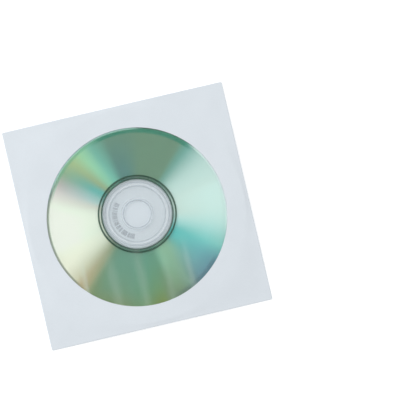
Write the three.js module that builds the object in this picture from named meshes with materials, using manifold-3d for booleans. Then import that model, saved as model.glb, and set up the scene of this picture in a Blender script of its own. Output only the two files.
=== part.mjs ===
// A paper sleeve for one optical disc, lying on its back with the window up.
// Lengths are millimetres. X is across the sleeve, +Y points at the top fold and +Z up.
// The origin is on the resting plane under the middle of the sleeve.
//
// The sleeve is one sheet. The window panel carries four flaps on its four sides: two narrow
// seam flaps fold in at the sides, the back panel folds up from the bottom and is glued on the
// seam flaps, and the closure flap folds over the mouth and lies behind the back panel.
import * as THREE from 'three';
import Module from 'manifold-3d';

const wasm = await Module();
wasm.setup();

// Disc
const discDiameter = 120;
const discThickness = 1.2;
const discHoleDiameter = 15;
const discRimChamfer = 0.2;
const discOffset = { x: 0.5, y: 0.9 };
const stackingRingInnerRadius = 16.8;
const stackingRingWidth = 1.2;
const stackingRingHeight = 0.2;
const hubGrooveRadius = 15.5;
const hubGrooveWidth = 0.5;
const hubGrooveDepth = 0.12;
const coatingThickness = 0.03;
const coatingInnerRadius = 20;
const coatingMargin = 1;

// Sheet of paper
const paperThickness = 0.12;
const sideRoom = 2.5;
const creaseRoom = 0.28;
const sideFoldGap = 1.2;
const cornerFoldGap = 0.15;
const windowBorder = 12.5;
const windowOffsetY = -0.7;
const seamFlapWidth = 12;
const seamFlapTaper = 3;
const closureFlapLength = 21;
const closureFlapTaper = 5.3;
const mouthSetback = 3;
const liftLength = 30;
const glueMargin = 2.5;

// Window film
const filmThickness = 0.04;
const filmOverlap = 6;

// Clearances between layers that lie on each other
const layerGap = 0.02;
const filmGap = 0.04;

// Facets
const stepsPerSide = 20;
const borderSteps = 2;
const slopeSteps = 8;
const bendSteps = 4;
const liftSteps = 6;
const filmSteps = 8;

// Plan of the sheet. The panel ends where its folds begin, so the folds reach the full half side.
const discRadius = discDiameter / 2;
const halfSide = discRadius + sideRoom;
const foldReach = creaseRoom + paperThickness;
const panelHalf = halfSide - foldReach;
const windowRadius = halfSide - windowBorder;
const filmHalf = windowRadius + filmOverlap;
const closureFlapEdge = panelHalf - closureFlapLength;
const backPanelLength = 2 * panelHalf - mouthSetback;

// Levels of the layers, counted up from the resting plane. Sheet levels are at mid-thickness.
// The disc lies level on the thickest stack: closure flap, back panel and seam flaps.
const plyPitch = paperThickness + layerGap;
const closureFlapLevel = paperThickness / 2;
const coatingBottom = 3 * plyPitch;
const discBottom = coatingBottom + coatingThickness;
const discTop = discBottom + discThickness;
const filmBottom = discTop + stackingRingHeight + layerGap;
const panelLevel = filmBottom + filmThickness + filmGap + paperThickness / 2;

// Smooth step from 0 to 1, flat at both ends.
function smooth(share) {
  const t = Math.min(Math.max(share, 0), 1);
  return t * t * (3 - 2 * t);
}

// count + 1 even steps from start to end.
function steps(start, end, count) {
  return Array.from({ length: count + 1 }, (_, i) => start + ((end - start) * i) / count);
}

// The back panel lies on the resting plane and rises by one ply over the closure flap.
const liftEnd = closureFlapEdge - paperThickness;
const liftStart = liftEnd - liftLength;

function backPanelLevel(y) {
  return closureFlapLevel + plyPitch * smooth((y - liftStart) / liftLength);
}

function seamFlapLevel(y) {
  return backPanelLevel(y) + plyPitch;
}

// The window panel is flat over the disc and slopes down to the folds outside it. The folds stay
// open beside the disc and close towards the corners.
function windowPanelLevel(x, y) {
  const reach = Math.hypot(x, y);
  if (reach <= discRadius) return panelLevel;
  const stretch = reach / Math.max(Math.abs(x), Math.abs(y));
  const edgeReach = panelHalf * stretch;
  const nearCorner = smooth((stretch - 1) / (Math.SQRT2 - 1));
  const foldGap = sideFoldGap + (cornerFoldGap - sideFoldGap) * nearCorner;
  const edgeLevel = seamFlapLevel((y * edgeReach) / reach) + paperThickness + foldGap;
  const fall = smooth((reach - discRadius) / (edgeReach - discRadius));
  return panelLevel + (edgeLevel - panelLevel) * fall;
}

// A station is one place on a sheet, with a point on each of its two faces.
function station(outer, inner) {
  const tidy = (point) => point.map((value) => Math.round(value * 1e5) / 1e5);
  return [tidy(outer), tidy(inner)];
}

function levelStation(x, y, level, thickness) {
  return station([x, y, level + thickness / 2], [x, y, level - thickness / 2]);
}

// Closes sheets of any outline into one solid. Each patch is a grid of stations, patch[i][j],
// with i running counterclockwise round the sleeve and j outwards, so that the first face of
// every station points out of the solid. Patches that share stations are joined, and every
// free edge gets a wall as high as the sheet is thick.
function sheetGeometry(patches) {
  const positions = [];
  const numbers = new Map();
  const numberOf = (place) => {
    const key = place.flat().join();
    if (!numbers.has(key)) {
      numbers.set(key, numbers.size);
      positions.push(...place[0], ...place[1]);
    }
    return numbers.get(key);
  };
  const outer = (n) => 2 * n;
  const inner = (n) => 2 * n + 1;
  const index = [];
  const edges = new Map();
  const addTriangle = (a, b, c) => {
    if (a === b || b === c || c === a) return;
    index.push(outer(a), outer(b), outer(c), inner(a), inner(c), inner(b));
    for (const [from, to] of [[a, b], [b, c], [c, a]]) edges.set(`${from},${to}`, [from, to]);
  };
  for (const patch of patches) {
    for (let i = 0; i + 1 < patch.length; i++) {
      for (let j = 0; j + 1 < patch[i].length; j++) {
        const corners = [patch[i][j], patch[i][j + 1], patch[i + 1][j + 1], patch[i + 1][j]];
        const [a, b, c, d] = corners.map(numberOf);
        addTriangle(a, b, c);
        addTriangle(a, c, d);
      }
    }
  }
  for (const [from, to] of edges.values()) {
    if (edges.has(`${to},${from}`)) continue;
    index.push(outer(to), outer(from), inner(from));
    index.push(outer(to), inner(from), inner(to));
  }
  const geometry = new THREE.BufferGeometry();
  geometry.setAttribute('position', new THREE.Float32BufferAttribute(positions, 3));
  geometry.setIndex(index);
  return geometry;
}

function toSolid(geometry) {
  return new wasm.Manifold(new wasm.Mesh({
    numProp: 3,
    vertProperties: new Float32Array(geometry.getAttribute('position').array),
    triVerts: new Uint32Array(geometry.getIndex().array),
  }));
}

function toGeometry(solid) {
  const mesh = solid.getMesh();
  const geometry = new THREE.BufferGeometry();
  geometry.setAttribute('position', new THREE.BufferAttribute(mesh.vertProperties, 3));
  geometry.setIndex(new THREE.BufferAttribute(mesh.triVerts, 1));
  return geometry;
}

// The four sides, counterclockwise: the way out of the sleeve and the way along the fold.
const right = { out: [1, 0], along: [0, 1] };
const top = { out: [0, 1], along: [-1, 0] };
const left = { out: [-1, 0], along: [0, -1] };
const bottom = { out: [0, -1], along: [1, 0] };
const sides = [right, top, left, bottom];

// Rays at even angles from the middle cross a side at these distances along it, in half sides.
const rayTangents = steps(-Math.PI / 4, Math.PI / 4, stepsPerSide).map(Math.tan);

function planPoint(side, outward, alongside) {
  return [0, 1].map((k) => side.out[k] * outward + side.along[k] * alongside);
}

// A patch between two outlines round the middle, one side of it. reachesAt gives the distances
// of its stations along a ray, from how far out the ray crosses the square and its share of Y.
function raySheet(side, squareHalf, reachesAt, levelAt, thickness) {
  return rayTangents.map((tangent) => {
    const edge = planPoint(side, squareHalf, squareHalf * tangent);
    const edgeReach = Math.hypot(...edge);
    return reachesAt(edgeReach, edge[1] / edgeReach).map((reach) => {
      const [x, y] = edge.map((value) => (value * reach) / edgeReach);
      return levelStation(x, y, levelAt(x, y), thickness);
    });
  });
}

// How far out a ray crosses the window's rim, whose middle lies off the sleeve's along Y.
function windowReach(shareY) {
  const shift = windowOffsetY * shareY;
  return shift + Math.sqrt(shift ** 2 + windowRadius ** 2 - windowOffsetY ** 2);
}

// A fold and the flap beyond it. The fold is half an ellipse in section, as wide as the crease
// and as high as the layers that it closes over. The flap then runs back inwards, and its ends
// draw in by taper.
function foldAndFlap(side, flap) {
  return rayTangents.map((tangent) => {
    const along = panelHalf * tangent;
    const [edgeX, edgeY] = planPoint(side, panelHalf, along);
    const high = windowPanelLevel(edgeX, edgeY);
    const low = flap.levelAt(edgeY);
    const middle = (high + low) / 2;
    const rise = (high - low) / 2;
    const bend = steps(0, Math.PI, bendSteps).map((angle) => {
      const face = (reach, half) => [
        ...planPoint(side, panelHalf + reach * Math.sin(angle), along),
        middle + half * Math.cos(angle),
      ];
      return station(
        face(foldReach, rise + paperThickness / 2),
        face(creaseRoom, rise - paperThickness / 2),
      );
    });
    const run = flap.depths.map((depth) => {
      const narrowing = 1 - (flap.taper * depth) / flap.length / panelHalf;
      const [x, y] = planPoint(side, panelHalf - depth, along * narrowing);
      return levelStation(x, y, flap.levelAt(y), -paperThickness);
    });
    return [...bend, ...run];
  });
}

// A line of glue between a seam flap and the back panel, let into both by a quarter of a ply.
function glueLine(side) {
  const bite = paperThickness / 4;
  const glueHalf = panelHalf - mouthSetback - glueMargin;
  const reaches = [panelHalf - seamFlapWidth + glueMargin, panelHalf - glueMargin];
  return rayTangents.map((tangent) => reaches.map((reach) => {
    const [x, y] = planPoint(side, reach, glueHalf * tangent);
    const level = (backPanelLevel(y) + seamFlapLevel(y)) / 2;
    return levelStation(x, y, level, layerGap + 2 * bite);
  }));
}

function sleeveGeometry() {
  const panelReaches = (edgeReach, shareY) => [
    ...steps(windowReach(shareY), discRadius, borderSteps),
    ...steps(discRadius, edgeReach, slopeSteps).slice(1),
  ];
  const seamFlap = {
    levelAt: seamFlapLevel,
    length: seamFlapWidth,
    depths: [seamFlapWidth],
    taper: seamFlapTaper,
  };
  const closureFlap = {
    levelAt: () => closureFlapLevel,
    length: closureFlapLength,
    depths: [closureFlapLength],
    taper: closureFlapTaper,
  };
  const backPanel = {
    levelAt: backPanelLevel,
    length: backPanelLength,
    depths: [
      ...steps(liftStart + panelHalf, liftEnd + panelHalf, liftSteps),
      backPanelLength,
    ],
    taper: 0,
  };
  const sheet = sheetGeometry([
    ...sides.map((side) => {
      return raySheet(side, panelHalf, panelReaches, windowPanelLevel, paperThickness);
    }),
    foldAndFlap(right, seamFlap),
    foldAndFlap(top, closureFlap),
    foldAndFlap(left, seamFlap),
    foldAndFlap(bottom, backPanel),
  ]);
  const seams = [right, left].map((side) => toSolid(sheetGeometry([glueLine(side)])));
  return toGeometry(seams.reduce((solid, seam) => solid.add(seam), toSolid(sheet)));
}

// The film is a square of clear film glued inside the window panel, so it follows its slopes.
function filmGeometry() {
  const reaches = (edgeReach) => [0, ...steps(windowRadius, edgeReach, filmSteps)];
  const drop = paperThickness / 2 + filmGap + filmThickness / 2;
  const levelAt = (x, y) => windowPanelLevel(x, y) - drop;
  return sheetGeometry(sides.map((side) => {
    return raySheet(side, filmHalf, reaches, levelAt, filmThickness);
  }));
}

// Turns a closed profile of [radius, height] points round the disc's axis.
function turnedGeometry(profile) {
  const points = [...profile, profile[0]].map(([radius, height]) => new THREE.Vector2(radius, height));
  const geometry = new THREE.LatheGeometry(points, sides.length * stepsPerSide);
  geometry.rotateX(Math.PI / 2);
  return geometry;
}

// The disc is clear plastic with its read side up, where the stacking ring stands proud and a
// shallow groove runs round the hub.
function discGeometry() {
  const holeRadius = discHoleDiameter / 2;
  const ringOuterRadius = stackingRingInnerRadius + stackingRingWidth;
  const ringTop = discThickness + stackingRingHeight;
  const grooveFloor = discThickness - hubGrooveDepth;
  return turnedGeometry([
    [holeRadius, 0],
    [discRadius - discRimChamfer, 0],
    [discRadius, discRimChamfer],
    [discRadius, discThickness - discRimChamfer],
    [discRadius - discRimChamfer, discThickness],
    [ringOuterRadius, discThickness],
    [ringOuterRadius - stackingRingHeight / 2, ringTop],
    [stackingRingInnerRadius + stackingRingHeight / 2, ringTop],
    [stackingRingInnerRadius, discThickness],
    [hubGrooveRadius + hubGrooveWidth / 2, discThickness],
    [hubGrooveRadius, grooveFloor],
    [hubGrooveRadius - hubGrooveWidth / 2, discThickness],
    [holeRadius, discThickness],
  ]);
}

// The metal and lacquer coat on the disc's label side, which leaves the hub and the rim clear.
function coatingGeometry() {
  return turnedGeometry([
    [coatingInnerRadius, 0],
    [discRadius - coatingMargin, 0],
    [discRadius - coatingMargin, coatingThickness],
    [coatingInnerRadius, coatingThickness],
  ]);
}

const materials = {
  paper: { color: 0xdee5eb, roughness: 0.85, metalness: 0 },
  film: { color: 0xe8f0f4, roughness: 0.12, metalness: 0, transparent: true, opacity: 0.18 },
  clearPlastic: { color: 0xd9e6ec, roughness: 0.05, metalness: 0, transparent: true, opacity: 0.3 },
  dyedMetal: { color: 0x9cc8bb, roughness: 0.2, metalness: 1 },
};

function namedMesh(name, geometry, material) {
  const mesh = new THREE.Mesh(geometry, new THREE.MeshStandardMaterial(materials[material]));
  mesh.name = name;
  return mesh;
}

const disc = namedMesh('disc', discGeometry(), 'clearPlastic');
disc.position.set(discOffset.x, discOffset.y, discBottom);

const coating = namedMesh('reflective_layer', coatingGeometry(), 'dyedMetal');
coating.position.set(discOffset.x, discOffset.y, coatingBottom);

const cdSleeve = new THREE.Group();
cdSleeve.add(
  namedMesh('sleeve', sleeveGeometry(), 'paper'),
  namedMesh('window_film', filmGeometry(), 'film'),
  disc,
  coating,
);

export default cdSleeve;
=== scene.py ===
# A square paper sleeve with a round film window, lying on its back with a disc in it.
# Lengths are millimetres until a mesh is made. X runs across the sleeve, +Y to its top fold.
import math
import bmesh
import bpy
import numpy as np
from mathutils import Matrix, Vector


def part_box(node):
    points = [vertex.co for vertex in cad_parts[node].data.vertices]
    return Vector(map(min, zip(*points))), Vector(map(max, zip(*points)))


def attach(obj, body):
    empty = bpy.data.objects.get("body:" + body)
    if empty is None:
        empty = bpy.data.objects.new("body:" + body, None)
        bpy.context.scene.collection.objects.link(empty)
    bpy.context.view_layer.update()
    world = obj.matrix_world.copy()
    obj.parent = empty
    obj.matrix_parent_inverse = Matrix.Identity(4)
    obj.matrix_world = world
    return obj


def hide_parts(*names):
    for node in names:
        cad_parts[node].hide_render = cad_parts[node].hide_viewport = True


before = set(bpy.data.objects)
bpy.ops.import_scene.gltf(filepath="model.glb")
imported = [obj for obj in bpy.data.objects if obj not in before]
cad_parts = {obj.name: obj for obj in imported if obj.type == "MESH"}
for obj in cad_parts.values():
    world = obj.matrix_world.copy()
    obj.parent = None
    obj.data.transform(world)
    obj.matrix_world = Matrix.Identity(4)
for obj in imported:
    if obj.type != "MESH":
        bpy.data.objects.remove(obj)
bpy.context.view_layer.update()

metre = 1000


# The low and high corner of a solid's box, in millimetres: the frame's metres times 1000.
def boxOf(node):
    return [np.array(corner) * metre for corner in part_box(node)]


sleeveLow, sleeveHigh = boxOf("sleeve")
filmHalf = boxOf("window_film")[1][0]
discLow, discHigh = boxOf("disc")
coatLow, coatHigh = boxOf("reflective_layer")
discX, discY = ((discLow + discHigh) / 2)[:2].tolist()
discRadius = (discHigh[0] - discLow[0]) / 2
coatRadius = (coatHigh[0] - coatLow[0]) / 2
print("frame loaded, sleeve", np.round(sleeveHigh - sleeveLow, 2))


# A screen colour, 0 to 255, as linear light: the power curve of the sRGB standard.
def tone(red, green, blue):
    share = np.array([red, green, blue]) / 255
    linear = np.where(share <= 0.04045, share / 12.92, ((share + 0.055) / 1.055) ** 2.4)
    return (*linear.tolist(), 1.0)


# One socket of a node tree. Sums, products and other sums of wires add Math nodes.
class Wire:
    def __init__(self, tree, socket=None):
        self.tree = tree
        self.socket = socket

    # Any node: its kind, its settings, then a value or a wire for each input that is given by
    # name or number, or for the first inputs in turn where they come as a list.
    def node(self, kind, settings=None, sockets=None, out=0):
        made = self.tree.nodes.new("ShaderNode" + kind)
        for name, value in (settings or {}).items():
            setattr(made, name, value)
        given = sockets or {}
        pairs = given.items() if isinstance(given, dict) else enumerate(given)
        for key, value in pairs:
            if isinstance(value, Wire):
                self.tree.links.new(value.socket, made.inputs[key])
            else:
                made.inputs[key].default_value = value
        return Wire(self.tree, made.outputs[out]) if made.outputs else None

    # Another output of the same node.
    def beside(self, name):
        return Wire(self.tree, self.socket.node.outputs[name])

    def math(self, operation, *others):
        return self.node("Math", {"operation": operation}, [self, *others])

    def __add__(self, other):
        return self.math("ADD", other)

    def __sub__(self, other):
        return self.math("SUBTRACT", other)

    def __rsub__(self, other):
        return self.node("Math", {"operation": "SUBTRACT"}, [other, self])

    def __mul__(self, other):
        return self.math("MULTIPLY", other)

    def __truediv__(self, other):
        return self.math("DIVIDE", other)

    def __abs__(self):
        return self.math("ABSOLUTE")

    __radd__ = __add__
    __rmul__ = __mul__

    # low below start, high above end, a smooth step between.
    def ramp(self, start, end, low=0.0, high=1.0):
        limits = {0: self, 1: start, 2: end, 3: low, 4: high}
        return self.node("MapRange", {"interpolation_type": "SMOOTHSTEP"}, limits)

    # strength at middle, falling smoothly to 0 at halfWidth from it. core is the share of
    # halfWidth that keeps the full strength.
    def band(self, middle, halfWidth, strength, core):
        return abs(self - middle).ramp(halfWidth * core, halfWidth, strength, 0.0)

    def mixColour(self, factor, first, second):
        return self.node("Mix", {"data_type": "RGBA"}, {0: factor, 6: first, 7: second}, 2)

    def mixShader(self, factor, first, second):
        return self.node("MixShader", None, [factor, first, second])

    def noise(self, where, scale, detail=2.0, roughness=0.5):
        sizes = {"Vector": where, "Scale": scale, "Detail": detail, "Roughness": roughness}
        return self.node("TexNoise", None, sizes)

    def bump(self, height, distance, strength):
        relief = {"Height": height, "Distance": distance, "Strength": strength}
        return self.node("Bump", None, relief)

    def finish(self, kind="OutputMaterial"):
        self.node(kind, None, [self])


# An empty material, and a wire to write its nodes with.
def newMaterial(name):
    material = bpy.data.materials.new(name)
    material.use_nodes = True
    material.node_tree.nodes.clear()
    return material, Wire(material.node_tree)


# The object's own coordinates in millimetres, as a vector and as three wires.
def ownPlace(paint):
    metres = paint.node("TexCoord", None, None, "Object")
    where = paint.node("VectorMath", {"operation": "SCALE"}, {0: metres, "Scale": metre})
    split = paint.node("SeparateXYZ", None, [where])
    return where, split, split.beside("Y"), split.beside("Z")


# Quads between neighbours of a grid of points, first index anticlockwise, second outwards.
def gridFaces(shape, first):
    number = np.arange(shape[0] * shape[1]).reshape(shape[:2]) + first
    corners = [number[:-1, :-1], number[:-1, 1:], number[1:, 1:], number[1:, :-1]]
    return np.stack(corners, -1).reshape(-1, 4)


# Points this near each other, in metres, become one, and edges this short go.
joinDistance = 2e-6
shortEdge = 1e-7


# One mesh from several grids of points, joined where they meet. thickness, if any, is laid half
# on each side, and the result gets sharp edges where faces meet at more than creaseAngle.
def makePiece(name, grids, material, thickness=0.0, creaseAngle=38):
    counts = np.cumsum([0] + [grid.shape[0] * grid.shape[1] for grid in grids])
    points = np.concatenate([grid.reshape(-1, 3) for grid in grids]) / metre
    faces = np.concatenate([gridFaces(g.shape, first) for g, first in zip(grids, counts)])
    mesh = bpy.data.meshes.new(name)
    mesh.from_pydata(points.tolist(), [], faces.tolist())
    joined = bmesh.new()
    joined.from_mesh(mesh)
    bmesh.ops.remove_doubles(joined, verts=joined.verts, dist=joinDistance)
    bmesh.ops.dissolve_degenerate(joined, edges=joined.edges, dist=shortEdge)
    joined.to_mesh(mesh)
    joined.free()
    piece = bpy.data.objects.new(name, mesh)
    bpy.context.scene.collection.objects.link(piece)
    if thickness:
        wall = piece.modifiers.new("wall", "SOLIDIFY")
        wall.thickness = thickness / metre
        wall.offset = 0
        wall.use_even_offset = True
        seen = piece.evaluated_get(bpy.context.evaluated_depsgraph_get())
        piece.data = bpy.data.meshes.new_from_object(seen)
        piece.modifiers.clear()
    piece.data.name = name
    piece.data.shade_smooth()
    piece.data.set_sharp_from_angle(angle=math.radians(creaseAngle))
    piece.data.materials.clear()
    piece.data.materials.append(material)
    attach(piece, "root")
    print("made", name, len(piece.data.polygons), "faces")
    return piece


# 0 to 1 with level ends: 3t^2 - 2t^3, t from 0 to 1.
def smooth(share):
    t = np.clip(share, 0, 1)
    return t * t * (3 - 2 * t)


# The paper. What a user would change is here; the rest follows from the boxes of the solids.
sheet = {
    "paper": 0.12,
    "layerGap": 0.02,
    "creaseRoom": 0.28,
    "sideFoldGap": 1.2,
    "cornerFoldGap": 0.15,
    "windowRadius": 50.0,
    "windowOffsetY": -0.7,
    "seamFlapWidth": 12.0,
    "seamFlapTaper": 3.0,
    "closureFlapLength": 21.0,
    "closureFlapTaper": 5.3,
    "mouthSetback": 3.0,
    "liftLength": 30.0,
    "raysPerSide": 64,
    "bendSteps": 12,
    "glueBandShare": 0.25,
    "glueBandSteps": 3,
    "panelSteps": 21,
    "seamFlapRows": 4,
    "closureFlapRows": 5,
    "backPanelRows": 48,
    "colour": tone(222, 229, 235),
    "shade": tone(219, 226, 232),
    "roughness": 0.82,
    "gloss": 0.3,
    "cloudScale": 0.05,
    "grainScale": 2.2,
    "fibreScale": 7.0,
    "relief": 0.00003,
    "reliefStrength": 0.25,
}
halfSide = sleeveHigh[0]
foldReach = sheet["creaseRoom"] + sheet["paper"] / 2
panelHalf = halfSide - sheet["creaseRoom"] - sheet["paper"]
plyPitch = sheet["paper"] + sheet["layerGap"]
panelLevel = sleeveHigh[2] - sheet["paper"] / 2
closureFlapEdge = panelHalf - sheet["closureFlapLength"]
liftStart = closureFlapEdge - sheet["paper"] - sheet["liftLength"]
rayTangents = np.tan(np.linspace(-math.pi / 4, math.pi / 4, sheet["raysPerSide"] + 1))
sides = [((1, 0), (0, 1)), ((0, 1), (-1, 0)), ((-1, 0), (0, -1)), ((0, -1), (1, 0))]
rightSide, topSide, leftSide, bottomSide = sides


# Mid-thickness heights: the back panel steps up one ply over the closure flap behind it.
def backLevel(y):
    return sheet["paper"] / 2 + plyPitch * smooth((y - liftStart) / sheet["liftLength"])


# The seam flaps lie one ply above the back panel, and the closure flap on the table.
def seamLevel(y):
    return backLevel(y) + plyPitch


def closureLevel(y):
    return np.full_like(y, sheet["paper"] / 2)


# Flat over the disc, then a smooth step down along each ray to the fold, whose gap narrows
# smoothly from the middle of a side to its corners.
def windowPanelLevel(x, y):
    tiny = 1e-6        # Keeps the middle point, where both are 0, from dividing by 0.
    reach = np.maximum(np.hypot(x, y), tiny)
    stretch = reach / np.maximum(np.abs(x), np.abs(y)).clip(tiny)
    edgeReach = panelHalf * stretch
    nearCorner = smooth((stretch - 1) / (math.sqrt(2) - 1))
    gap = sheet["sideFoldGap"] + (sheet["cornerFoldGap"] - sheet["sideFoldGap"]) * nearCorner
    edgeLevel = seamLevel(y * edgeReach / reach) + sheet["paper"] + gap
    fall = smooth((reach - discRadius) / (edgeReach - discRadius))
    return panelLevel + (edgeLevel - panelLevel) * fall


# A place given by its distance out of a side and its distance along it.
def planPoint(side, outward, along):
    out, way = side
    return out[0] * outward + way[0] * along, out[1] * outward + way[1] * along


# One quarter of a surface between two outlines. Each ray from the middle crosses a square of
# half side squareHalf at edgeReach; shares 0 to 1 run from startAt to the square.
def raySurface(side, squareHalf, startAt, shares, levelAt):
    edgeX, edgeY = planPoint(side, squareHalf, squareHalf * rayTangents)
    edgeReach = np.hypot(edgeX, edgeY)
    start = startAt(edgeY / edgeReach)
    reach = start[:, None] + (edgeReach - start)[:, None] * shares
    x = edgeX[:, None] * reach / edgeReach[:, None]
    y = edgeY[:, None] * reach / edgeReach[:, None]
    return np.stack([x, y, levelAt(x, y)], -1)


# Where a ray crosses the window's rim, a circle whose middle is off the sleeve's along Y.
def windowReach(shareY):
    shift = sheet["windowOffsetY"] * shareY
    inside = shift**2 + sheet["windowRadius"] ** 2 - sheet["windowOffsetY"] ** 2
    return shift + np.sqrt(inside)


# Half an ellipse in section from the panel's edge down to the flap's level, then the flap
# running back inwards while its ends draw in.
def foldAndFlap(side, levelAt, length, taper, rows):
    along = panelHalf * rayTangents
    edgeX, edgeY = planPoint(side, panelHalf, along)
    high = windowPanelLevel(edgeX, edgeY)
    low = levelAt(edgeY)
    angle = np.linspace(0, math.pi, sheet["bendSteps"] + 1)
    bendX, bendY = planPoint(side, panelHalf + foldReach * np.sin(angle), along[:, None])
    bendZ = ((high + low) / 2)[:, None] + ((high - low) / 2)[:, None] * np.cos(angle)
    depth = np.linspace(0, length, rows + 1)[1:]
    narrowed = along[:, None] * (1 - taper * depth / length / panelHalf)
    flapX, flapY = planPoint(side, panelHalf - depth, narrowed)
    wide = np.ones_like(bendZ)
    bend = np.stack([bendX * wide, bendY * wide, bendZ], -1)
    wide = np.ones_like(narrowed)
    flap = np.stack([flapX * wide, flapY * wide, levelAt(flapY * wide)], -1)
    return np.concatenate([bend, flap], 1)


# Uncoated paper: fibres a few tenths of a millimetre long over a soft cloudy tone. The colour
# and the relief are each six parts of one noise and four of another.
def makePaper():
    material, paint = newMaterial("uncoated_paper")
    where, *_ = ownPlace(paint)
    cloud = paint.noise(where, sheet["cloudScale"], 3.0)
    grain = paint.noise(where, sheet["grainScale"], 3.0, 0.6)
    fibre = paint.noise(where, sheet["fibreScale"], 2.0, 0.7)
    tint = (cloud * 0.6 + grain * 0.4).ramp(0.35, 0.65)
    height = grain * 0.6 + fibre * 0.4
    skin = {
        "Base Color": paint.mixColour(tint, sheet["colour"], sheet["shade"]),
        "Roughness": sheet["roughness"],
        "Specular IOR Level": sheet["gloss"],
        "Normal": paint.bump(height, sheet["relief"], sheet["reliefStrength"]),
    }
    paint.node("BsdfPrincipled", None, skin).finish()
    return material


# The window panel in four quarters, and a fold and a flap on each of its sides. The panel's
# rows run evenly over the glue band round the window, and evenly again from there to the fold.
def makeSleeve():
    glueBand = np.linspace(0, sheet["glueBandShare"], sheet["glueBandSteps"] + 1)
    slope = np.linspace(sheet["glueBandShare"], 1, sheet["panelSteps"] + 1)
    shares = np.concatenate([glueBand[:-1], slope])
    panels = [raySurface(side, panelHalf, windowReach, shares, windowPanelLevel) for side in sides]
    seam = [seamLevel, sheet["seamFlapWidth"], sheet["seamFlapTaper"], sheet["seamFlapRows"]]
    closureSize = [sheet["closureFlapLength"], sheet["closureFlapTaper"]]
    closure = [closureLevel, *closureSize, sheet["closureFlapRows"]]
    backLength = 2 * panelHalf - sheet["mouthSetback"]
    back = [backLevel, backLength, 0.0, sheet["backPanelRows"]]
    flaps = [
        foldAndFlap(rightSide, *seam),
        foldAndFlap(topSide, *closure),
        foldAndFlap(leftSide, *seam),
        foldAndFlap(bottomSide, *back),
    ]
    piece = makePiece("folded_sheet", panels + flaps, makePaper(), sheet["paper"])
    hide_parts("sleeve")


# The film glued inside the window panel. A streak is a soft crease: its X, half width and
# strength. The streaks fade in from streakTop down to streakFull.
film = {
    "thickness": 0.04,
    "glueGap": 0.04,
    "rows": 40,
    "clear": (0.985, 0.99, 0.992, 1),
    "shine": (0.88, 1.0, 0.92, 1),
    "refraction": 1.4,
    "wander": 1.0,
    "wanderScale": 0.04,
    "streaks": [
        (-36.0, 2.4, 0.2),
        (-20.5, 4.6, 0.085),
        (-5.2, 4.4, 0.09),
        (9.3, 3.2, 0.055),
        (21.8, 2.8, 0.09),
    ],
    "streakTop": -12.0,
    "streakFull": -30.0,
    "roughness": 0.12,
    "rippleScale": 0.12,
    "rippleRelief": 0.0004,
    "rippleStrength": 0.3,
}


# Clear film: it lets light straight through and mirrors a little by its angle, and more along
# a few soft creases near its lower edge. Mirroring is the angle's share plus the streaks', and
# none on the inner face.
def makeFilmMaterial():
    material, paint = newMaterial("clear_film")
    where, x, y, _ = ownPlace(paint)
    sideways = paint.noise(where, film["wanderScale"], 1.0) * 2.0 - 1.0
    across = x + sideways * film["wander"]
    streaks = [across.band(*streak, 0.0) for streak in film["streaks"]]
    veil = sum(streaks[1:], streaks[0])
    fall = y.ramp(film["streakFull"], film["streakTop"], 1.0, 0.0)
    mirror = paint.node("Fresnel", None, {"IOR": film["refraction"]})
    outside = 1 - paint.node("NewGeometry", None, None, "Backfacing")
    factor = (mirror + veil * fall) * outside
    waves = paint.noise(where, film["rippleScale"], 2.0)
    ripple = paint.bump(waves, film["rippleRelief"], film["rippleStrength"])
    clear = paint.node("BsdfTransparent", None, [film["clear"]])
    shine = {"Color": film["shine"], "Roughness": film["roughness"], "Normal": ripple}
    gloss = paint.node("BsdfGlossy", None, shine)
    paint.mixShader(factor, clear, gloss).finish()
    return material


# The film's height: under the window panel by half the paper, the glue and half the film.
def filmLevel(x, y):
    drop = sheet["paper"] / 2 + film["glueGap"] + film["thickness"] / 2
    return windowPanelLevel(x, y) - drop


# The film in four quarters, each from the middle, at reach 0, to the film's edge.
def makeFilm():
    shares = np.linspace(0, 1, film["rows"] + 1)
    grids = [raySurface(side, filmHalf, np.zeros_like, shares, filmLevel) for side in sides]
    piece = makePiece("window_film_sheet", grids, makeFilmMaterial(), film["thickness"])
    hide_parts("window_film")


# The clear disc. A bead is a radius, a half width and a height. A line is a radius, a half
# width, a colour and a strength: painted highlights and painted shade, the thin pale and dark
# rings where the mould's steps and the hole's bevel are, and the two dark rings that edge the
# coat. The mark is an arc of short bars, its direction and half arc in degrees.
disc = {
    "thickness": 1.2,
    "holeRadius": 7.5,
    "rimChamfer": 0.2,
    "holeBevel": 0.45,
    "holeBevelDepth": 0.27,
    "bevelSteps": 6,
    "beads": [(8.8, 0.7, 0.07), (15.5, 0.4, -0.05), (17.3, 1.0, 0.17), (19.2, 0.5, 0.05)],
    "beadSteps": 12,
    "flatKeep": 0.06,
    "lines": [
        # Painted shade and highlights at the bevel and mould steps, then the coat's two edge
        # rings.
        (7.7, 0.65, tone(184, 193, 203), 0.45),
        (8.7, 0.6, tone(226, 233, 240), 0.35),
        (15.6, 0.6, tone(154, 164, 175), 0.25),
        (16.6, 0.7, tone(240, 246, 250), 0.42),
        (17.8, 0.55, tone(150, 160, 170), 0.22),
        (18.5, 0.4, tone(236, 242, 248), 0.3),
        (19.1, 0.7, tone(146, 164, 164), 0.35),
        (19.75, 0.72, tone(44, 82, 66), 0.85),
        (21.45, 0.75, tone(40, 80, 62), 0.88),
    ],
    "lineCore": 0.2,
    "segments": 256,
    "refraction": 1.57,
    "tint": (0.975, 0.98, 0.98, 1),
    "lampTint": (0.965, 0.97, 0.97, 1),
    "markInner": 11.2,
    "markOuter": 13.9,
    "markMiddle": 193.5,
    "markHalfArc": 57.0,
    "markEdge": 0.25,
    "markArcFade": 1.5,
    "markCount": 150.0,
    "markGroups": 14.0,
    "markStrength": 0.75,
    "markColour": tone(150, 158, 168),
}


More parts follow.
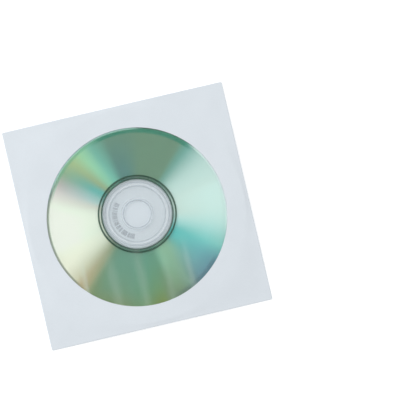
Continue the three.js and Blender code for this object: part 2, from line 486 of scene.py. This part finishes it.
# A closed profile of radius and height, anticlockwise, turned clockwise round the disc's axis
# so that its faces look outwards.
def turned(profile):
    points = np.array(profile + profile[:1])
    angle = np.linspace(2 * math.pi, 0, disc["segments"] + 1)[:, None]
    x = discX + points[:, 0] * np.cos(angle)
    y = discY + points[:, 0] * np.sin(angle)
    return np.stack([x, y, points[:, 1] + 0 * angle], -1)


# A rounded bead, or a groove where its height is negative, on the disc's top: points of a
# raised cosine, from the outside in.
def bead(radius, halfWidth, height, level):
    turn = np.linspace(math.pi, -math.pi, disc["beadSteps"] + 1)
    heights = level + height * (1 + np.cos(turn)) / 2
    return list(zip(radius + halfWidth * turn / math.pi, heights))


# Polar coordinates about the disc's axis: distance, and the two shares of the direction.
def discPolar(paint, x, y):
    fromX = x - discX
    fromY = y - discY
    reach = (fromX * fromX + fromY * fromY).math("SQRT")
    return reach, fromX / reach, fromY / reach


# 1 within spread degrees of a direction, falling smoothly to 0 over fade more degrees.
def fan(shareX, shareY, direction, spread, fade):
    angle = math.radians(direction)
    near = shareX * math.cos(angle) + shareY * math.sin(angle)
    return near.ramp(math.cos(math.radians(spread + fade)), math.cos(math.radians(spread)))


# How much of the plastic is frosted by the mark: in its ring of radii and its arc, on the label
# side only, where the bars' wave is high and the groups' noise is not low.
def markShare(z, reach, shareX, shareY):
    angle = shareY.math("ARCTAN2", shareX)
    bars = (angle * disc["markCount"]).math("SINE").ramp(-0.2, 0.3)
    place = angle.node("CombineXYZ", None, [angle * disc["markGroups"]])
    groups = angle.noise(place, 1.0, 0.0).ramp(0.42, 0.46)
    edge = disc["markEdge"]
    beyond = reach.ramp(disc["markInner"] - edge, disc["markInner"] + edge)
    within = reach.ramp(disc["markOuter"] - edge, disc["markOuter"] + edge, 1.0, 0.0)
    arc = fan(shareX, shareY, disc["markMiddle"], disc["markHalfArc"], disc["markArcFade"])
    labelSide = z.ramp(discLow[2] + 0.1, discLow[2] + 0.2, 1.0, 0.0)
    return beyond * within * arc * labelSide * bars * groups * disc["markStrength"]


# Clear plastic that refracts for the eye and lets lamps straight through. The lines, painted
# highlights and painted shade and the coat's edge rings, lie on its upper face as matt colour,
# and the mark on its label side.
def makeDiscPlastic():
    material, paint = newMaterial("clear_disc_plastic")
    _, x, y, z = ownPlace(paint)
    reach, shareX, shareY = discPolar(paint, x, y)
    plastic = {"Color": disc["tint"], "Roughness": 0.0, "IOR": disc["refraction"]}
    glass = paint.node("BsdfGlass", None, plastic)
    clear = paint.node("BsdfTransparent", None, [disc["lampTint"]])
    frosted = paint.node("BsdfDiffuse", None, [disc["markColour"]])
    lamp = paint.node("LightPath", None, None, "Is Shadow Ray")
    straight = lamp.math("MAXIMUM", lamp.beside("Is Diffuse Ray"))
    body = paint.mixShader(straight, glass, clear)
    middle = discLow[2] + disc["thickness"] / 2
    upperFace = z.ramp(middle, middle + 0.2)
    # Each line mixes in a matt colour, as listed: painted highlights, painted shade, coat edge
    # rings.
    for radius, halfWidth, shade, strength in disc["lines"]:
        line = reach.band(radius, halfWidth, strength, disc["lineCore"]) * upperFace
        body = paint.mixShader(line, body, paint.node("BsdfDiffuse", None, [shade]))
    marks = markShare(z, reach, shareX, shareY)
    paint.mixShader(marks, body, frosted).finish()
    return material


# The disc's profile, from the hole's lower edge out and back over the top. flatKeep puts a
# second point just beside each bend, which keeps the flat beyond it level.
def makeDisc():
    low = discLow[2]
    top = low + disc["thickness"]
    chamfer = disc["rimChamfer"]
    hole = disc["holeRadius"]
    bevel = disc["holeBevel"]
    depth = disc["holeBevelDepth"]
    keep = disc["flatKeep"]
    profile = [
        (hole, low),
        (discRadius - chamfer, low),
        (discRadius, low + chamfer),
        (discRadius, top - chamfer),
        (discRadius - chamfer, top),
    ]
    for radius, halfWidth, height in reversed(disc["beads"]):
        profile += [(radius + halfWidth + keep, top), *bead(radius, halfWidth, height, top)]
        profile += [(radius - halfWidth - keep, top)]
    turn = np.linspace(0, math.pi / 2, disc["bevelSteps"] + 1)
    rounded = zip(hole + bevel * (1 - np.sin(turn)), top - depth * (1 - np.cos(turn)))
    profile += [(hole + bevel + keep, top), *rounded]
    piece = makePiece("clear_disc", [turned(profile)], makeDiscPlastic())
    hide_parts("disc")


# The coat on the label side, seen through the plastic: the dye's green, with painted reflections
# and painted shade laid over it. Its colours are written as the eye should see them: the film
# and the plastic add "gloss" by mirroring the white surroundings and pass on "passed" of the
# rest. A fan is a painted reflection, a wedge of diffracted light that the grooves throw towards
# the eye: its direction, spread and fade in degrees anticlockwise from +X, its colour, and its
# strength at the hub and at the rim, where less than 0 at one end only moves the place where it
# begins. A ring near the hub is painted shade on two sides of the band between the coat's dark
# edge rings: a radius, a half width, a direction, spread and fade, a colour and a strength. A rim
# band is the same along the window's edge, but starts with how far inside that edge it lies:
# painted shadow cast by the paper's window edge, and painted highlights of its lit cut edge.
coat = {
    "colour": (116, 149, 126),
    "innerRadius": 20.0,
    "sunkIntoDisc": 0.01,
    "hubReach": 23.0,
    "rimReach": 47.0,
    "gloss": 0.073,
    "passed": 0.854,
    "fans": [
        # Painted reflections: the wedges of diffracted light round the disc.
        (106.0, 4.5, 28.5, (100, 141, 134), 1.16, 0.25),
        (256.3, 18.3, 24.7, (42, 178, 181), 0.44, 1.08),
        (234.0, 14.0, 21.2, (153, 134, 15), 0.24, 0.59),
        (281.1, 4.2, 26.5, (136, 141, 46), 0.28, 0.76),
        (294.6, 0.7, 16.2, (164, 223, 193), 0.44, 0.52),
        (284.4, 0.7, 9.8, (125, 150, 122), -0.35, 0.84),
        (335.7, 26.8, 15.2, (137, 198, 187), 0.24, 1.29),
        (27.8, 8.5, 11.6, (13, 140, 125), 0.7, 1.09),
        (327.2, 0.7, 24.0, (66, 237, 243), 0.39, 0.13),
        (306.9, 0.6, 19.4, (68, 48, 127), -0.09, 0.44),
        (5.8, 0.6, 42.9, (231, 252, 245), 0.73, 0.76),
        (127.0, 5.7, 23.1, (127, 194, 174), 1.25, 0.85),
        (141.0, 0.6, 21.8, (142, 88, 43), 0.74, 0.82),
        (128.5, 0.7, 17.1, (209, 251, 180), 0.21, 0.43),
        (143.5, 0.6, 15.8, (112, 185, 176), 1.19, 0.35),
        (165.0, 2.5, 26.2, (251, 238, 239), 0.36, 0.69),
        (184.3, 9.0, 27.8, (243, 253, 234), 0.82, 1.15),
        (208.7, 2.6, 17.3, (238, 230, 203), 0.19, 0.45),
        (220.0, 0.6, 4.6, (204, 162, 118), 0.0, 0.2),
    ],
    "rings": [
        # Painted shade on the band between the coat's edge rings.
        (20.97, 0.78, 78.0, 52.0, 24.0, (80, 108, 100), 0.6),
        (20.97, 0.78, 256.0, 44.0, 24.0, (80, 108, 100), 0.6),
    ],
    "ringCore": 0.5,
    "rimShadowsAndHighlights": [
        # Painted shadow and painted highlights along the window's paper edge.
        (1.4, 2.1, 74.0, 28.0, 9.0, (58, 138, 114), 0.78),
        (1.4, 1.4, 129.0, 14.0, 16.0, (118, 188, 150), 0.6),
        (-0.3, 1.5, 118.0, 32.0, 14.0, (205, 255, 238), 1.0),
        (0.0, 1.4, 10.0, 22.0, 12.0, (232, 255, 248), 0.9),
        (0.9, 2.2, 302.0, 10.0, 12.0, (84, 104, 110), 0.36),
        (0.5, 1.1, 182.0, 28.0, 12.0, (100, 118, 104), 0.62),
        (-0.5, 0.9, 262.0, 36.0, 20.0, (232, 250, 236), 1.0),
    ],
    "rimBandCore": 0.3,
    "metallic": 0.55,
    "roughness": 0.28,
}


# A colour with painted reflection fans laid over it, each as strong as its line from hub to rim
# says, where outward is 0 at the hub and 1 at the rim.
def withFans(colour, outward, shareX, shareY, fans):
    for direction, spread, fade, shade, atHub, atRim in fans:
        strength = (outward * (atRim - atHub) + atHub).math("MAXIMUM", 0.0)
        mask = fan(shareX, shareY, direction, spread, fade) * strength
        colour = outward.mixColour(mask, colour, tone(*shade))
    return colour


# A colour with painted shade and highlight arcs laid over it: a band at a radius, times a fan.
def withArcs(colour, reach, shareX, shareY, arcs, core):
    for radius, halfWidth, direction, spread, fade, shade, strength in arcs:
        line = reach.band(radius, halfWidth, strength, core)
        mask = line * fan(shareX, shareY, direction, spread, fade)
        colour = reach.mixColour(mask, colour, tone(*shade))
    return colour


# What the coat has to be for the eye to see a colour: less the gloss, over the share passed.
def undoGloss(paint, colour):
    lost = (coat["gloss"],) * 3
    colour = paint.node("VectorMath", {"operation": "SUBTRACT"}, [colour, lost])
    share = {0: colour, "Scale": 1 / coat["passed"]}
    colour = paint.node("VectorMath", {"operation": "SCALE"}, share)
    colour = paint.node("VectorMath", {"operation": "MAXIMUM"}, [colour, (0.0, 0.0, 0.0)])
    return paint.node("VectorMath", {"operation": "MINIMUM"}, [colour, (1.0, 1.0, 1.0)])


# The painted fans and hub shade turn about the disc's axis, the painted rim bands about the
# window's.
def makeCoating():
    # The dye's green, under painted reflections, painted shadow and painted highlights.
    material, paint = newMaterial("dyed_coat_with_painted_light")
    _, x, y, _ = ownPlace(paint)
    reach, shareX, shareY = discPolar(paint, x, y)
    outward = (reach - coat["hubReach"]) / (coat["rimReach"] - coat["hubReach"])
    colour = withFans(tone(*coat["colour"]), outward, shareX, shareY, coat["fans"])
    fromY = y - sheet["windowOffsetY"]
    rimReach = (x * x + fromY * fromY).math("SQRT")
    rimShadowsAndHighlights = [(sheet["windowRadius"] - inside, *rest) for inside, *rest in coat["rimShadowsAndHighlights"]]
    rimShares = [x / rimReach, fromY / rimReach]
    colour = withArcs(colour, rimReach, *rimShares, rimShadowsAndHighlights, coat["rimBandCore"])
    colour = withArcs(colour, reach, shareX, shareY, coat["rings"], coat["ringCore"])
    colour = undoGloss(paint, colour)
    skin = {"Base Color": colour, "Metallic": coat["metallic"], "Roughness": coat["roughness"]}
    paint.node("BsdfPrincipled", None, skin).finish()
    return material


# A flat ring whose upper face lies a hair inside the plastic, so that no gap shows.
def makeCoat():
    low = coatLow[2]
    high = coatHigh[2] + coat["sunkIntoDisc"]
    inner = coat["innerRadius"]
    profile = [(inner, low), (coatRadius, low), (coatRadius, high), (inner, high)]
    piece = makePiece("dyed_coat_with_painted_light", [turned(profile)], makeCoating())
    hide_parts("reflective_layer")


# Where the photograph's camera stood: nearly over the sleeve, far off with a long lens. The
# sleeve lies low and left in the picture, so the camera aims past it.
camera = {
    "distance": 5000.0,
    "elevation": 81.45,
    "roll": -13.19,
    "aimX": 36.02,
    "aimY": 0.70,
    "pictureWidth": 221.23,
    "sensor": 36.0,
    "nearest": 0.1,
    "farthest": 100,
}


# The camera's axes: back points from the aim to the eye, right and up are turned by the roll.
# The lens is the sensor's width times the distance over the width that the picture covers.
def makeCamera():
    tilt = math.radians(camera["elevation"])
    roll = math.radians(camera["roll"])
    back = Vector((0, -math.cos(tilt), math.sin(tilt)))
    level = Vector((1, 0, 0))
    upright = back.cross(level)
    right = level * math.cos(roll) + upright * math.sin(roll)
    up = upright * math.cos(roll) - level * math.sin(roll)
    aim = Vector((camera["aimX"], camera["aimY"], 0))
    place = (aim + back * camera["distance"]) / metre
    data = bpy.data.cameras.new("camera")
    data.sensor_width = camera["sensor"]
    data.lens = camera["sensor"] * camera["distance"] / camera["pictureWidth"]
    data.clip_start = camera["nearest"]
    data.clip_end = camera["farthest"]
    eye = bpy.data.objects.new("camera", data)
    eye.matrix_world = Matrix.Translation(place) @ Matrix((right, up, back)).transposed().to_4x4()
    bpy.context.scene.collection.objects.link(eye)
    bpy.context.scene.camera = eye


# One soft lamp from the upper left, and a plain white surround.
light = {
    "key": 0.28,
    "direction": 140.0,
    "elevation": 46.0,
    "distance": 1800.0,
    "size": 750.0,
    "surround": 0.72,
    "background": 1.0,
    "white": (0.995, 0.997, 1.0, 1.0),
}


# The lamp's power is what makes a white card on the table as bright as the share "key".
def makeLight():
    angle = math.radians(light["direction"])
    height = math.radians(light["elevation"])
    level = math.cos(height)
    toLamp = Vector((math.cos(angle) * level, math.sin(angle) * level, math.sin(height)))
    lamp = bpy.data.lights.new("window_light", "AREA")
    lamp.shape = "DISK"
    lamp.size = light["size"] / metre
    reach = light["distance"] / metre
    lamp.energy = light["key"] * (math.pi * reach) ** 2 / math.sin(height)
    holder = bpy.data.objects.new("window_light", lamp)
    holder.location = toLamp * reach
    holder.rotation_mode = "QUATERNION"
    holder.rotation_quaternion = toLamp.to_track_quat("Z", "Y")
    holder.visible_camera = False
    holder.visible_glossy = False
    bpy.context.scene.collection.objects.link(holder)


# Rays that the eye, a mirror or glass sends out see the plain background; the rest see less.
def seenRay(paint):
    path = paint.node("LightPath", None, None, "Is Camera Ray")
    seen = path + path.beside("Is Glossy Ray") + path.beside("Is Transmission Ray")
    return seen.math("MINIMUM", 1.0)


# The surround's strength: "background" for the eye, "surround" for all else.
def makeSurround():
    world = bpy.data.worlds.new("surround")
    world.use_nodes = True
    world.node_tree.nodes.clear()
    bpy.context.scene.world = world
    paint = Wire(world.node_tree)
    strength = seenRay(paint) * (light["background"] - light["surround"]) + light["surround"]
    sky = {"Color": light["white"], "Strength": strength}
    paint.node("Background", None, sky).finish("OutputWorld")


# A white table top. It glows a little for the eye, so that it stays as white as the surround,
# and still takes the sleeve's soft shadow. From below it is clear, and its glow lights the
# sleeve's back.
table = {
    "half": 1500.0,
    "squares": 40,
    "below": 0.03,
    "colour": 0.8,
    "glow": 0.4,
    "backGlow": 0.35,
}


# A level grid of squares a little under the sleeve.
def makeTable():
    material, paint = newMaterial("white_table")
    shade = (table["colour"],) * 3 + (1.0,)
    matt = paint.node("BsdfDiffuse", None, [shade])
    strength = seenRay(paint) * (table["glow"] - table["backGlow"]) + table["backGlow"]
    glow = paint.node("Emission", None, {"Strength": strength})
    lit = paint.node("AddShader", None, [matt, glow])
    clear = paint.node("BsdfTransparent")
    underside = paint.node("NewGeometry", None, None, "Backfacing")
    paint.mixShader(underside, lit, clear).finish()
    side = np.linspace(-table["half"], table["half"], table["squares"] + 1) / metre
    x, y = np.meshgrid(side, side)
    points = np.stack([x, y, np.full_like(x, -table["below"] / metre)], -1)
    mesh = bpy.data.meshes.new("table_top")
    mesh.from_pydata(points.reshape(-1, 3).tolist(), [], gridFaces(points.shape, 0).tolist())
    mesh.materials.append(material)
    top = bpy.data.objects.new("table_top", mesh)
    bpy.context.scene.collection.objects.link(top)


makeSleeve()
makeFilm()
makeDisc()
makeCoat()
makeCamera()
makeLight()
makeSurround()
makeTable()
bpy.context.scene.view_settings.view_transform = "Standard"
print("scene made")
